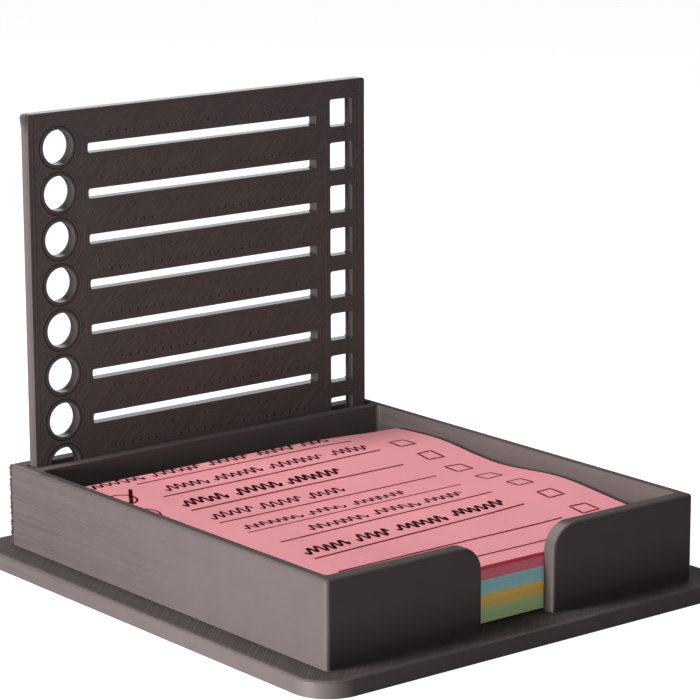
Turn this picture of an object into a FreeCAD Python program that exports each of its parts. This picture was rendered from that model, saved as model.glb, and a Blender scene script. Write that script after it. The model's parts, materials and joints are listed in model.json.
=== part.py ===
import FreeCAD, Part
import math
import os
import Sketcher

# A printed desk tray for a pad of square sticky notes. A checklist stencil stands in a slot behind the notes.
# X runs to the right, Y to the back and Z up. The origin is the middle of the base plate's underside.

# Driving sizes in millimetres
SIZES = {
    "note_width": "76",
    "note_depth": "76",
    "note_side_gap": "1.3",
    "note_front_gap": "0.3",
    "bay_rear_room": "7",
    "leaf_thickness": "0.1",
    "glue_thickness": "0.028",
    "leaves_per_colour": "25",
    "leaves_left_on_top": "22",
    "backing_thickness": "0.3",
    "top_note_gap": "0.2",
    "wave_front": "0.08",
    "wave_crest": "0.65",
    "wave_dip": "0.6",
    "wave_back": "0.12",
    "base_thickness": "3",
    "base_corner_radius": "7",
    "base_edge_radius": "0.5",
    "flange_width": "5.4",
    "wall_thickness": "2.4",
    "side_wall_thickness": "1.8",
    "rear_wall_thickness": "3",
    "wall_height": "15.3",
    "wall_corner_radius": "0.8",
    "rim_edge_radius": "0.6",
    "bay_corner_radius": "0.8",
    "notch_width": "16",
    "notch_corner_radius": "4.8",
    "stencil_thickness": "2.2",
    "stencil_side_gap": "0.9",
    "stencil_end_gap": "1.6",
    "stencil_shift": "0.4",
    "stencil_corner_radius": "0.6",
    "slot_face_gap": "0.3",
    "slot_end_gap": "1.1",
    "slot_corner_radius": "0.4",
    "round_hole": "6.4",
    "square_hole": "5.3",
    "square_lift": "0.2",
    "line_height": "1.8",
    "line_drop": "0.8",
    "hole_corner_radius": "0.4",
    "round_to_line": "3.2",
    "line_to_square": "3.4",
    "edge_margin": "3.1",
    "row_web": "2",
}

# The bay takes the notes, and the stencil can lie flat in it as a guide for the pen.
BAY_WIDE = "(sizes.note_width + 2 * sizes.note_side_gap)"
BAY_DEEP = "(sizes.note_front_gap + sizes.note_depth + sizes.bay_rear_room)"
STENCIL_WIDE = f"({BAY_WIDE} - 2 * sizes.stencil_side_gap)"
STENCIL_TALL = f"({BAY_DEEP} - 2 * sizes.stencil_end_gap)"

# The slot lies between the inner and the outer rear wall.
SLOT_WIDE = f"({STENCIL_WIDE} + 2 * sizes.slot_end_gap)"
SLOT_DEEP = "(sizes.stencil_thickness + 2 * sizes.slot_face_gap)"

# Walls and base plate grow outwards from the bay.
TRAY_WIDE = f"({BAY_WIDE} + 2 * sizes.side_wall_thickness)"
TRAY_DEEP = f"({BAY_DEEP} + {SLOT_DEEP} + 2 * sizes.wall_thickness + sizes.rear_wall_thickness)"
BASE_WIDE = f"({TRAY_WIDE} + 2 * sizes.flange_width)"
BASE_DEEP = f"({TRAY_DEEP} + 2 * sizes.flange_width)"

# Places along Y and Z
TRAY_FRONT = f"(-1 * {TRAY_DEEP} / 2)"
BAY_FRONT = f"({TRAY_FRONT} + sizes.wall_thickness)"
BAY_REAR = f"({BAY_FRONT} + {BAY_DEEP})"
SLOT_FRONT = f"({BAY_REAR} + sizes.wall_thickness)"
SLOT_REAR = f"({SLOT_FRONT} + {SLOT_DEEP})"
NOTE_FRONT = f"({BAY_FRONT} + sizes.note_front_gap)"
NOTE_REAR = f"({NOTE_FRONT} + sizes.note_depth)"
RIM = "(sizes.base_thickness + sizes.wall_height)"

# Rows of the stencil, as many as its height has room for
ROW_PITCH = "(max(sizes.round_hole; sizes.square_hole) + sizes.row_web)"
ROW_COUNT = f"floor(({STENCIL_TALL} - 2 * sizes.edge_margin + sizes.row_web) / {ROW_PITCH})"
ROW_SPAN = f"(({ROW_COUNT} - 1) * {ROW_PITCH})"
FIRST_ROW = f"(-1 * {ROW_SPAN} / 2)"
LINE_MIDDLE = f"({FIRST_ROW} - sizes.line_drop)"
ROUND_LEFT = f"(sizes.edge_margin - {STENCIL_WIDE} / 2)"
ROUND_MIDDLE = f"({ROUND_LEFT} + sizes.round_hole / 2)"
LINE_LEFT = f"({ROUND_LEFT} + sizes.round_hole + sizes.round_to_line)"
SQUARE_RIGHT = f"({STENCIL_WIDE} / 2 - sizes.edge_margin)"
SQUARE_LEFT = f"({SQUARE_RIGHT} - sizes.square_hole)"
LINE_RIGHT = f"({SQUARE_LEFT} - sizes.line_to_square)"

# The glue along its rear edge makes every leaf thicker there, so the pad is a wedge.
PAD_FLOOR = "(sizes.base_thickness + sizes.backing_thickness)"
FRONT_LEAF = "sizes.leaf_thickness"
REAR_LEAF = "(sizes.leaf_thickness + sizes.glue_thickness)"

doc = FreeCAD.newDocument("sticky_note_tray")
sheet = doc.addObject("Spreadsheet::Sheet", "sizes")
for row, (alias, size) in enumerate(SIZES.items(), start=1):
    sheet.set(f"A{row}", alias)
    sheet.set(f"B{row}", size)
    sheet.setAlias(f"B{row}", alias)
doc.recompute()


def value(expression):
    """Works out an expression on the sheet's sizes as a plain number."""
    return float(sheet.evalExpression(expression))


def new_body(label):
    """Starts a body that is named as its piece."""
    body = doc.addObject("PartDesign::Body", label)
    body.Label = label
    return body


def new_sketch(body, name, role, lift=None):
    """Puts a sketch on one of the body's own planes, raised by an expression where one is given."""
    plane = next(feature for feature in body.Origin.OriginFeatures if feature.Role == role)
    sketch = body.newObject("Sketcher::SketchObject", name)
    sketch.AttachmentSupport = (plane, [""])
    sketch.MapMode = "FlatFace"
    if lift:
        sketch.setExpression("AttachmentOffset.Base.z", lift)
    return sketch


def bind(sketch, expression, kind, *targets):
    """Adds a dimension to a sketch and ties it to the sheet."""
    index = sketch.addConstraint(Sketcher.Constraint(kind, *targets, value(expression)))
    sketch.setExpression(f"Constraints[{index}]", expression)


def bind_place(sketch, edge, end, across=None, up=None):
    """Dimensions an end of an edge from the sketch's origin, across, up or both."""
    if across:
        bind(sketch, across, "DistanceX", -1, 1, edge, end)
    if up:
        bind(sketch, up, "DistanceY", -1, 1, edge, end)


def polygon(sketch, corners):
    """Draws straight edges through corners that are given as pairs of expressions."""
    points = [FreeCAD.Vector(value(across), value(up), 0) for across, up in corners]
    ends = points[1:] + points[:1]
    edges = [sketch.addGeometry(Part.LineSegment(start, end), False) for start, end in zip(points, ends)]
    for edge, (across, up) in enumerate(corners):
        sketch.addConstraint(Sketcher.Constraint("Coincident", edges[edge - 1], 2, edges[edge], 1))
        bind_place(sketch, edges[edge], 1, across, up)


def rounded_rectangle(sketch, left, right, low, high, radius):
    """Draws a rectangle with four equal round corners."""
    left_x, right_x, low_y, high_y, turn = (value(size) for size in (left, right, low, high, radius))
    middles = (
        FreeCAD.Vector(right_x - turn, low_y + turn, 0),
        FreeCAD.Vector(right_x - turn, high_y - turn, 0),
        FreeCAD.Vector(left_x + turn, high_y - turn, 0),
        FreeCAD.Vector(left_x + turn, low_y + turn, 0),
    )
    outwards = (
        FreeCAD.Vector(0, -turn, 0),
        FreeCAD.Vector(turn, 0, 0),
        FreeCAD.Vector(0, turn, 0),
        FreeCAD.Vector(-turn, 0, 0),
    )
    lines = []
    arcs = []
    for side, outward in enumerate(outwards):
        line = Part.LineSegment(middles[side - 1] + outward, middles[side] + outward)
        lines.append(sketch.addGeometry(line, False))
        circle = Part.Circle(middles[side], FreeCAD.Vector(0, 0, 1), turn)
        begin = (side - 1) * math.pi / 2
        arcs.append(sketch.addGeometry(Part.ArcOfCircle(circle, begin, begin + math.pi / 2), False))
    for side in range(4):
        sketch.addConstraint(Sketcher.Constraint("Tangent", lines[side], 2, arcs[side], 1))
        sketch.addConstraint(Sketcher.Constraint("Tangent", arcs[side - 1], 2, lines[side], 1))
        level = "Vertical" if side % 2 else "Horizontal"
        sketch.addConstraint(Sketcher.Constraint(level, lines[side]))
    for arc in arcs[1:]:
        sketch.addConstraint(Sketcher.Constraint("Equal", arcs[0], arc))
    bind(sketch, radius, "Radius", arcs[0])
    bind_place(sketch, lines[0], 1, up=low)
    bind_place(sketch, lines[1], 1, across=right)
    bind_place(sketch, lines[2], 1, up=high)
    bind_place(sketch, lines[3], 1, across=left)


def pad(body, name, sketch, length, symmetric=False):
    """Raises a sketch into solid material."""
    feature = body.newObject("PartDesign::Pad", name)
    feature.Profile = sketch
    feature.SideType = "Symmetric" if symmetric else "One side"
    feature.setExpression("Length", length)
    doc.recompute()
    return feature


def pocket(body, name, sketch, length, reverse=False):
    """Cuts a sketch out of the body, and stops if that takes nothing away."""
    before = body.Shape.Volume
    feature = body.newObject("PartDesign::Pocket", name)
    feature.Profile = sketch
    feature.Reversed = reverse
    feature.setExpression("Length", length)
    doc.recompute()
    if not feature.Shape.Volume < before:
        raise RuntimeError(f"{name} cuts nothing")
    return feature


def centred(width):
    """Gives the left and right edges of a width that is centred on the tray."""
    return f"(-1 * {width} / 2)", f"({width} / 2)"


def round_edges(body, name, base, wanted, count, radius):
    """Rounds the edges of a feature that a test picks, and stops unless it picks the right number."""
    names = [f"Edge{i}" for i, edge in enumerate(base.Shape.Edges, start=1) if wanted(edge)]
    if len(names) != count:
        raise RuntimeError(f"{name} picks {len(names)} edges, not {count}")
    feature = body.newObject("PartDesign::Fillet", name)
    feature.Base = (base, names)
    feature.setExpression("Radius", radius)
    doc.recompute()
    return feature


def round_base_edge(body, plate):
    """Rounds the upper edge of the base plate, all round."""
    top = value("sizes.base_thickness")

    def is_upper(edge):
        heights = (edge.BoundBox.ZMin, edge.BoundBox.ZMax)
        return all(math.isclose(height, top, abs_tol=1e-3) for height in heights)

    round_edges(body, "base_edge", plate, is_upper, 8, "sizes.base_edge_radius")


def round_notch_corners(body, notch):
    """Rounds the two corners that the finger notch leaves on top of the front wall."""
    half = value("sizes.notch_width / 2")
    rim = value(RIM)
    front = value(TRAY_FRONT)

    def is_corner(edge):
        middle = edge.CenterOfMass
        beside = math.isclose(abs(middle.x), half, abs_tol=1e-3)
        on_rim = math.isclose(middle.z, rim, abs_tol=1e-3)
        lengthwise = math.isclose(edge.BoundBox.YMin, front, abs_tol=1e-3)
        return beside and on_rim and lengthwise and edge.BoundBox.YLength > 1e-3

    return round_edges(body, "notch_corners", notch, is_corner, 2, "sizes.notch_corner_radius")


def round_rim_edge(body, walls):
    """Rounds the outer edge of the rim all round, and on down both sides of the finger notch."""
    half_wide = value(f"{TRAY_WIDE} / 2")
    half_deep = value(f"{TRAY_DEEP} / 2")
    rim = value(RIM)
    foot = value("sizes.base_thickness")
    notch_half = value("sizes.notch_width / 2 + sizes.notch_corner_radius")

    def is_outer(edge):
        box = edge.BoundBox
        beside = math.isclose(max(-box.XMin, box.XMax), half_wide, abs_tol=1e-3)
        at_end = math.isclose(max(-box.YMin, box.YMax), half_deep, abs_tol=1e-3)
        flat_x = box.XLength < 1e-3
        flat_y = box.YLength < 1e-3
        on_outline = (beside and flat_x) or (at_end and flat_y) or (beside and at_end)
        on_rim = math.isclose(box.ZMin, rim, abs_tol=1e-3)
        in_front = math.isclose(box.YMax, -half_deep, abs_tol=1e-3)
        near_notch = max(-box.XMin, box.XMax) < notch_half + 1e-3
        beside_notch = in_front and near_notch and box.ZMax > foot + 1e-3
        return (on_rim and on_outline) or beside_notch

    round_edges(body, "rim_edge", walls, is_outer, 13, "sizes.rim_edge_radius")


def make_tray():
    """Base plate, walls, note bay, stencil slot and finger notch, in one printed piece."""
    body = new_body("tray")

    plate = new_sketch(body, "plate_outline", "XY_Plane")
    rounded_rectangle(plate, *centred(BASE_WIDE), *centred(BASE_DEEP), "sizes.base_corner_radius")
    base_plate = pad(body, "base_plate", plate, "sizes.base_thickness")
    round_base_edge(body, base_plate)

    walls = new_sketch(body, "wall_outline", "XY_Plane", "sizes.base_thickness")
    rounded_rectangle(walls, *centred(TRAY_WIDE), *centred(TRAY_DEEP), "sizes.wall_corner_radius")
    pad(body, "wall_block", walls, "sizes.wall_height")

    bay = new_sketch(body, "bay_outline", "XY_Plane", RIM)
    rounded_rectangle(bay, *centred(BAY_WIDE), BAY_FRONT, BAY_REAR, "sizes.bay_corner_radius")
    pocket(body, "note_bay", bay, "sizes.wall_height")

    slot = new_sketch(body, "slot_outline", "XY_Plane", RIM)
    rounded_rectangle(slot, *centred(SLOT_WIDE), SLOT_FRONT, SLOT_REAR, "sizes.slot_corner_radius")
    pocket(body, "stencil_slot", slot, "sizes.wall_height")

    notch = new_sketch(body, "notch_outline", "XZ_Plane")
    left, right = centred("sizes.notch_width")
    foot = "sizes.base_thickness"
    polygon(notch, ((left, foot), (right, foot), (right, RIM), (left, RIM)))
    finger_notch = pocket(body, "finger_notch", notch, f"{BASE_DEEP} / 2", reverse=True)
    notch_corners = round_notch_corners(body, finger_notch)
    round_rim_edge(body, notch_corners)
    return body


def make_stencil():
    """A flat plate with rows of a round hole, a line slot and a square hole, stood up in its slot."""
    body = new_body("stencil")

    plate = new_sketch(body, "stencil_outline", "XY_Plane")
    rounded_rectangle(plate, *centred(STENCIL_WIDE), *centred(STENCIL_TALL), "sizes.stencil_corner_radius")
    pad(body, "stencil_plate", plate, "sizes.stencil_thickness")

    holes = new_sketch(body, "row_outline", "XY_Plane", "sizes.stencil_thickness")
    middle = FreeCAD.Vector(value(ROUND_MIDDLE), value(FIRST_ROW), 0)
    circle = Part.Circle(middle, FreeCAD.Vector(0, 0, 1), value("sizes.round_hole / 2"))
    hole = holes.addGeometry(circle, False)
    bind_place(holes, hole, 3, ROUND_MIDDLE, FIRST_ROW)
    bind(holes, "sizes.round_hole", "Diameter", hole)
    low, high = (f"({LINE_MIDDLE} {sign} sizes.line_height / 2)" for sign in "-+")
    rounded_rectangle(holes, LINE_LEFT, LINE_RIGHT, low, high, "sizes.hole_corner_radius")
    low, high = (f"({FIRST_ROW} + sizes.square_lift {sign} sizes.square_hole / 2)" for sign in "-+")
    rounded_rectangle(holes, SQUARE_LEFT, SQUARE_RIGHT, low, high, "sizes.hole_corner_radius")
    first_row = pocket(body, "first_row", holes, "sizes.stencil_thickness")

    rows = body.newObject("PartDesign::LinearPattern", "rows")
    rows.Originals = [first_row]
    upwards = next(feature for feature in body.Origin.OriginFeatures if feature.Role == "Y_Axis")
    rows.Direction = (upwards, [""])
    rows.setExpression("Length", ROW_SPAN)
    rows.setExpression("Occurrences", ROW_COUNT)
    body.Tip = rows

    upright = FreeCAD.Rotation(FreeCAD.Vector(1, 0, 0), 90)
    body.Placement = FreeCAD.Placement(FreeCAD.Vector(), upright)
    body.setExpression("Placement.Base.x", "-1 * sizes.stencil_shift")
    body.setExpression("Placement.Base.y", f"{SLOT_REAR} - sizes.slot_face_gap")
    body.setExpression("Placement.Base.z", f"sizes.base_thickness + {STENCIL_TALL} / 2")
    doc.recompute()
    return body


def make_wedge(label, front_low, front_high, rear_low, rear_high):
    """A stack of paper as wide as a note, with its own heights at the front and at the rear edge."""
    body = new_body(label)
    side = new_sketch(body, f"{label}_side", "YZ_Plane")
    corners = (
        (NOTE_FRONT, front_low),
        (NOTE_REAR, rear_low),
        (NOTE_REAR, rear_high),
        (NOTE_FRONT, front_high),
    )
    polygon(side, corners)
    pad(body, f"{label}_stack", side, "sizes.note_width", symmetric=True)
    return body


def stack_height(leaf, colours, top_leaves="0"):
    """Height of a number of full colours and loose leaves on the backing sheet."""
    return f"({PAD_FLOOR} + ({colours} * sizes.leaves_per_colour + {top_leaves}) * {leaf})"


def make_colours(labels):
    """The full colours of the pad, from the backing sheet upwards."""
    bodies = []
    for count, label in enumerate(labels):
        front = [stack_height(FRONT_LEAF, count + step) for step in (0, 1)]
        rear = [stack_height(REAR_LEAF, count + step) for step in (0, 1)]
        bodies.append(make_wedge(label, *front, *rear))
    return bodies


def wave_points(full_colours, lift):
    """Points of the wavy top of the pad at every fifth of its depth, raised by a lift."""
    front = value(NOTE_FRONT)
    depth = value("sizes.note_depth")
    low = value(stack_height(FRONT_LEAF, full_colours, "sizes.leaves_left_on_top"))
    high = value(stack_height(REAR_LEAF, full_colours, "sizes.leaves_left_on_top"))
    swells = (
        0,
        value("sizes.wave_front"),
        value("sizes.wave_crest"),
        -value("sizes.wave_dip"),
        value("sizes.wave_back"),
        0,
    )
    left = -value("sizes.note_width") / 2
    points = []
    for station, swell in enumerate(swells):
        share = station / (len(swells) - 1)
        points.append(FreeCAD.Vector(left, front + share * depth, low + share * (high - low) + swell + lift))
    return points


def wave_edge(points):
    """A smooth edge through points."""
    curve = Part.BSplineCurve()
    curve.interpolate(points)
    return curve.toShape()


def make_wavy(label, low_edge, high_edge):
    """A piece of paper between two edges that run from front to rear, as wide as a note."""
    low_front, low_rear = (vertex.Point for vertex in low_edge.Vertexes)
    high_front, high_rear = (vertex.Point for vertex in high_edge.Vertexes)
    front = Part.makeLine(low_front, high_front)
    rear = Part.makeLine(low_rear, high_rear)
    side = Part.Face(Part.Wire(Part.__sortEdges__([low_edge, rear, high_edge, front])))
    piece = doc.addObject("Part::Feature", label)
    piece.Label = label
    piece.Shape = side.extrude(FreeCAD.Vector(value("sizes.note_width"), 0, 0))
    piece.Placement = FreeCAD.Placement()
    return piece


def make_top_colour(full_colours):
    """The colour that is in use, whose top has taken on the waves of the uppermost notes."""
    left = -value("sizes.note_width") / 2
    front = FreeCAD.Vector(left, value(NOTE_FRONT), value(stack_height(FRONT_LEAF, full_colours)))
    rear = FreeCAD.Vector(left, value(NOTE_REAR), value(stack_height(REAR_LEAF, full_colours)))
    return make_wavy("pink_notes", Part.makeLine(front, rear), wave_edge(wave_points(full_colours, 0)))


def make_top_note(full_colours):
    """The uppermost note, a single wavy leaf."""
    under = value("sizes.top_note_gap")
    over = under + value("sizes.leaf_thickness")
    edges = [wave_edge(wave_points(full_colours, lift)) for lift in (under, over)]
    return make_wavy("top_note", *edges)


def check_and_write(pieces):
    """Stops at a failed object or a bad shape, and otherwise writes every piece to its own file."""
    doc.recompute()
    for item in doc.Objects:
        if "Invalid" in item.State or "Error" in item.State:
            raise RuntimeError(f"{item.Label} failed")
    for piece in pieces:
        shape = piece.Shape
        if shape.isNull() or not shape.isValid() or len(shape.Solids) != 1:
            raise RuntimeError(f"{piece.Label} isn't one good solid")
    os.makedirs("parts", exist_ok=True)
    for piece in pieces:
        piece.Shape.exportStep(f"parts/{piece.Label}.step")
        box = piece.Shape.BoundBox
        print(f"{piece.Label}: {box.XLength:.2f} x {box.YLength:.2f} x {box.ZLength:.2f} mm")


full_colours = ("green_notes", "yellow_notes", "blue_notes")
tray = make_tray()
stencil = make_stencil()
backing = make_wedge("pad_backing", "sizes.base_thickness", PAD_FLOOR, "sizes.base_thickness", PAD_FLOOR)
colours = make_colours(full_colours)
top_colour = make_top_colour(len(full_colours))
top_note = make_top_note(len(full_colours))
check_and_write([tray, stencil, backing, *colours, top_colour, top_note])
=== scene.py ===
"""Looks of a desk tray for sticky notes: a printed tray, its checklist stencil and a pad of four colours.

Lengths are millimetres in the part's own frame unless a name says otherwise, and MM turns them into metres.
"""

import json
import logging
import math
import random
from dataclasses import dataclass, field
from enum import Enum
from typing import Any, Callable, Iterable, Iterator, Union

import bmesh
import bpy
from mathutils import Matrix, Vector
from mathutils.bvhtree import BVHTree
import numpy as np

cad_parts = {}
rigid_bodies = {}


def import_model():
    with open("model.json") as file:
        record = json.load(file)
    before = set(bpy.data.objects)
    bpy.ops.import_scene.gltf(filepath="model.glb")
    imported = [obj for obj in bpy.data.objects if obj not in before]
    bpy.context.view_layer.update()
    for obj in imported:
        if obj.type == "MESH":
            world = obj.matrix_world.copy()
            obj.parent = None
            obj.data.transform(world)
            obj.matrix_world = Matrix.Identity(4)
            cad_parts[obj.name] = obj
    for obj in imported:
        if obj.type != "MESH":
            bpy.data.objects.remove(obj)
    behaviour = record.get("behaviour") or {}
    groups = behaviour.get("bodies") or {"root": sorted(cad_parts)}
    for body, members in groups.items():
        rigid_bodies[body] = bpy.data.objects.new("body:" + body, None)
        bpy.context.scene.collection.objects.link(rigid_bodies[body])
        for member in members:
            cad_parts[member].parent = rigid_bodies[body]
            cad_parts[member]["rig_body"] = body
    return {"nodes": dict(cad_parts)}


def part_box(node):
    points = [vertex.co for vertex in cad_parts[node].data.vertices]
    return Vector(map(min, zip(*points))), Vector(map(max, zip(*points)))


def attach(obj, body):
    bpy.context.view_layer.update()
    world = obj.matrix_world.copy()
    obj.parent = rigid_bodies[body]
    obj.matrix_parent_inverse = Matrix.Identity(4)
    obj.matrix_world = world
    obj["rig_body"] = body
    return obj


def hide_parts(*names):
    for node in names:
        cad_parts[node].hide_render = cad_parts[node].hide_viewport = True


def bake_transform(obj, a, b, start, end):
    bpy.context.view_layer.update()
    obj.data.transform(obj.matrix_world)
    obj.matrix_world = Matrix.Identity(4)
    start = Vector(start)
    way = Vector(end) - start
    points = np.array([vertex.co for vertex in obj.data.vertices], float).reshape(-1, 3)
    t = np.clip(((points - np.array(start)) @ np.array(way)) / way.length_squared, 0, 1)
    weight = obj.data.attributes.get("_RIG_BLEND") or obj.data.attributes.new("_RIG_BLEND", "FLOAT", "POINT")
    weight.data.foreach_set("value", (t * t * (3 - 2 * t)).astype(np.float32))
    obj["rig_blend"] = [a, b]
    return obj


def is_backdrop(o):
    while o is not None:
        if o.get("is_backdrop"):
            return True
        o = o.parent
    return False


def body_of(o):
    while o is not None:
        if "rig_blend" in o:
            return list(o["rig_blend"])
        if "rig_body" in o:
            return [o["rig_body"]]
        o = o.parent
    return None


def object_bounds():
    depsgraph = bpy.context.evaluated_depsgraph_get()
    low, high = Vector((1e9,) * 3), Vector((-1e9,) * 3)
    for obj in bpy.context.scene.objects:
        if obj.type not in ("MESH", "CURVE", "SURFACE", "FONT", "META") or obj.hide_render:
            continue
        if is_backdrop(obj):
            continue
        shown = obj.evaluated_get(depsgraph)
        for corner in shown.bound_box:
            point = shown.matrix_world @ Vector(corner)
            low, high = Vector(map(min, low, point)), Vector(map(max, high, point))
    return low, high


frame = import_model()
CAD_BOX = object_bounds()

MM = 0.001
CUT_EDGE = "cut_edge"
WELD = 0.001
FLAT_DEG = 0.2
ROUND_OVER_DEG = 40.0
LOG = logging.getLogger("note_tray")

Colour = tuple[float, float, float]
Spot = tuple[float, float]
Place = tuple[float, float, float]
Span = tuple[float, float]
Number = Union["Link", float]


class Body(Enum):
    """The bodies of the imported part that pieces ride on."""

    TRAY = "tray"
    STENCIL = "stencil"
    NOTE_PAD = "note_pad"
    TOP_NOTE = "top_note"


class Slot(Enum):
    """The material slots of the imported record."""

    PLASTIC = "printed_plastic"
    PINK = "pink_paper"
    BLUE = "blue_paper"
    YELLOW = "yellow_paper"
    GREEN = "green_paper"
    BACKING = "backing_paper"


def math_method(operation: str, swapped: bool = False) -> Callable[..., "Link"]:
    """A method of Link that adds one Math node.

    Args:
        operation: the node's operation.
        swapped: whether the other value comes first.

    Returns:
        The method, which takes at most one other value.
    """

    def method(link: "Link", *others: Number) -> "Link":
        """Adds the node and gives its output."""
        values = (*others, link) if swapped else (link, *others)
        return link.shader.maths(operation, *values)

    return method


class Link:
    """The output of a shader node, which arithmetic turns into Math nodes."""

    __add__ = math_method("ADD")
    __radd__ = math_method("ADD", swapped=True)
    __sub__ = math_method("SUBTRACT")
    __rsub__ = math_method("SUBTRACT", swapped=True)
    __mul__ = math_method("MULTIPLY")
    __rmul__ = math_method("MULTIPLY", swapped=True)
    __truediv__ = math_method("DIVIDE")
    __pow__ = math_method("POWER")
    __abs__ = math_method("ABSOLUTE")
    floor = math_method("FLOOR")
    fraction = math_method("FRACT")
    least = math_method("MINIMUM")
    most = math_method("MAXIMUM")

    def __init__(self, shader: "Shader", socket: bpy.types.NodeSocket) -> None:
        """Wraps a socket of a shader's tree."""
        self.shader = shader
        self.socket = socket

    def rise(self, low: float, high: float) -> "Link":
        """A smooth step from 0 below low to 1 above high.

        Args:
            low: where the step starts.
            high: where it ends.

        Returns:
            The step.
        """
        limits = {"Value": self, "From Min": low, "From Max": high, "To Min": 0.0, "To Max": 1.0}
        return self.shader.link("ShaderNodeMapRange", {"interpolation_type": "SMOOTHSTEP"}, limits)

    def fall(self, low: float, high: float) -> "Link":
        """A smooth step from 1 below low to 0 above high."""
        return 1 - self.rise(low, high)

    def toward(self, other: "Link", share: "Link") -> "Link":
        """What lies a share of the way from this to other."""
        return self + (other - self) * share

    def jitter(self) -> "Link":
        """A value from -0.5 to 0.5 that is fixed between one whole number and the next."""
        return self.shader.chance(self.floor()) - 0.5

    def beads(self) -> "Link":
        """A row of rounded beads, one for each whole number: 1 on a bead's top and 0 in the grooves."""
        return 1 - abs(self.fraction() * 2 - 1) ** 4.0


class Shader:
    """Writes the node tree of a material or a world."""

    def __init__(self, tree: bpy.types.NodeTree) -> None:
        """Empties a tree and starts on it."""
        self.tree = tree
        tree.nodes.clear()

    @classmethod
    def of_material(cls, name: str) -> tuple["Shader", bpy.types.Material]:
        """A new material and the writer of its tree.

        Args:
            name: the material's name.

        Returns:
            The writer and the material.
        """
        material = bpy.data.materials.new(name)
        material.use_nodes = True
        return cls(material.node_tree), material

    def node(self, kind: str, settings: dict[str, Any], sockets: dict[Any, Any]) -> bpy.types.Node:
        """Adds a node.

        Args:
            kind: the node's type.
            settings: its own properties, which are set first.
            sockets: values or links for its inputs, by name or number.

        Returns:
            The node.
        """
        made = self.tree.nodes.new(kind)
        for name, value in settings.items():
            setattr(made, name, value)
        for key, value in sockets.items():
            if isinstance(value, Link):
                self.tree.links.new(value.socket, made.inputs[key])
            else:
                made.inputs[key].default_value = value
        return made

    def link(self, kind: str, settings: dict[str, Any], sockets: dict[Any, Any], output: Any = 0) -> Link:
        """Adds a node and gives one of its outputs.

        Args:
            kind: the node's type.
            settings: its own properties.
            sockets: values or links for its inputs.
            output: the output's name or number.

        Returns:
            That output.
        """
        return Link(self, self.node(kind, settings, sockets).outputs[output])

    def maths(self, operation: str, *values: Number) -> Link:
        """A Math node on one or two values."""
        return self.link("ShaderNodeMath", {"operation": operation}, dict(enumerate(values)))

    def split(self, vector: Link) -> tuple[Link, Link, Link]:
        """The three parts of a vector."""
        parts = self.node("ShaderNodeSeparateXYZ", {}, {0: vector}).outputs
        return Link(self, parts[0]), Link(self, parts[1]), Link(self, parts[2])

    def place(self) -> tuple[Link, Link, Link]:
        """Where a point of the surface lies in the part's frame, in millimetres."""
        spot = self.link("ShaderNodeTexCoord", {}, {}, "Object")
        x, y, z = self.split(spot)
        return x / MM, y / MM, z / MM

    def facing(self) -> tuple[Link, Link, Link]:
        """Which way the surface faces in the part's frame."""
        return self.split(self.link("ShaderNodeTexCoord", {}, {}, "Normal"))

    def noise(self, x: Number, y: Number, z: Number, detail: float = 2.0) -> Link:
        """Smooth noise from 0 to 1 with features one unit across.

        Args:
            x: first coordinate.
            y: second coordinate.
            z: third coordinate.
            detail: how many finer octaves are added.

        Returns:
            The noise.
        """
        spot = self.link("ShaderNodeCombineXYZ", {}, {0: x, 1: y, 2: z})
        return self.link("ShaderNodeTexNoise", {}, {"Vector": spot, "Scale": 1.0, "Detail": detail})

    def chance(self, number: Link) -> Link:
        """A value from 0 to 1 that is fixed for each number."""
        return self.link("ShaderNodeTexWhiteNoise", {"noise_dimensions": "1D"}, {"W": number})

    def blend(self, share: Link, *colours: Union[Link, Colour]) -> Link:
        """A colour between two.

        Args:
            share: 0 for the first, 1 for the second.
            colours: the two colours.

        Returns:
            The colour.
        """
        first, second = (one if isinstance(one, Link) else (*one, 1.0) for one in colours)
        return self.link("ShaderNodeMix", {"data_type": "RGBA"}, {0: share, 6: first, 7: second}, 2)

    def relief(self, height: Link) -> Link:
        """A normal for a height in millimetres."""
        return self.link("ShaderNodeBump", {}, {"Height": height, "Strength": 1.0, "Distance": MM})

    def surface(
        self,
        colour: Link,
        roughness: Number,
        normal: Link,
        shine: float,
        gloss: Number = 0.0,
        haze: float = 0.32,
    ) -> None:
        """Ends a material's tree in a principled surface.

        Args:
            colour: base colour.
            roughness: how matt it is.
            normal: its relief.
            shine: specular level.
            gloss: how much of a smooth skin lies on it.
            haze: how matt that skin is.
        """
        looks = {
            "Base Color": colour,
            "Roughness": roughness,
            "Normal": normal,
            "Specular IOR Level": shine,
            "Coat Weight": gloss,
            "Coat Roughness": haze,
        }
        shader = self.link("ShaderNodeBsdfPrincipled", {}, looks)
        self.node("ShaderNodeOutputMaterial", {}, {"Surface": shader})


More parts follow.
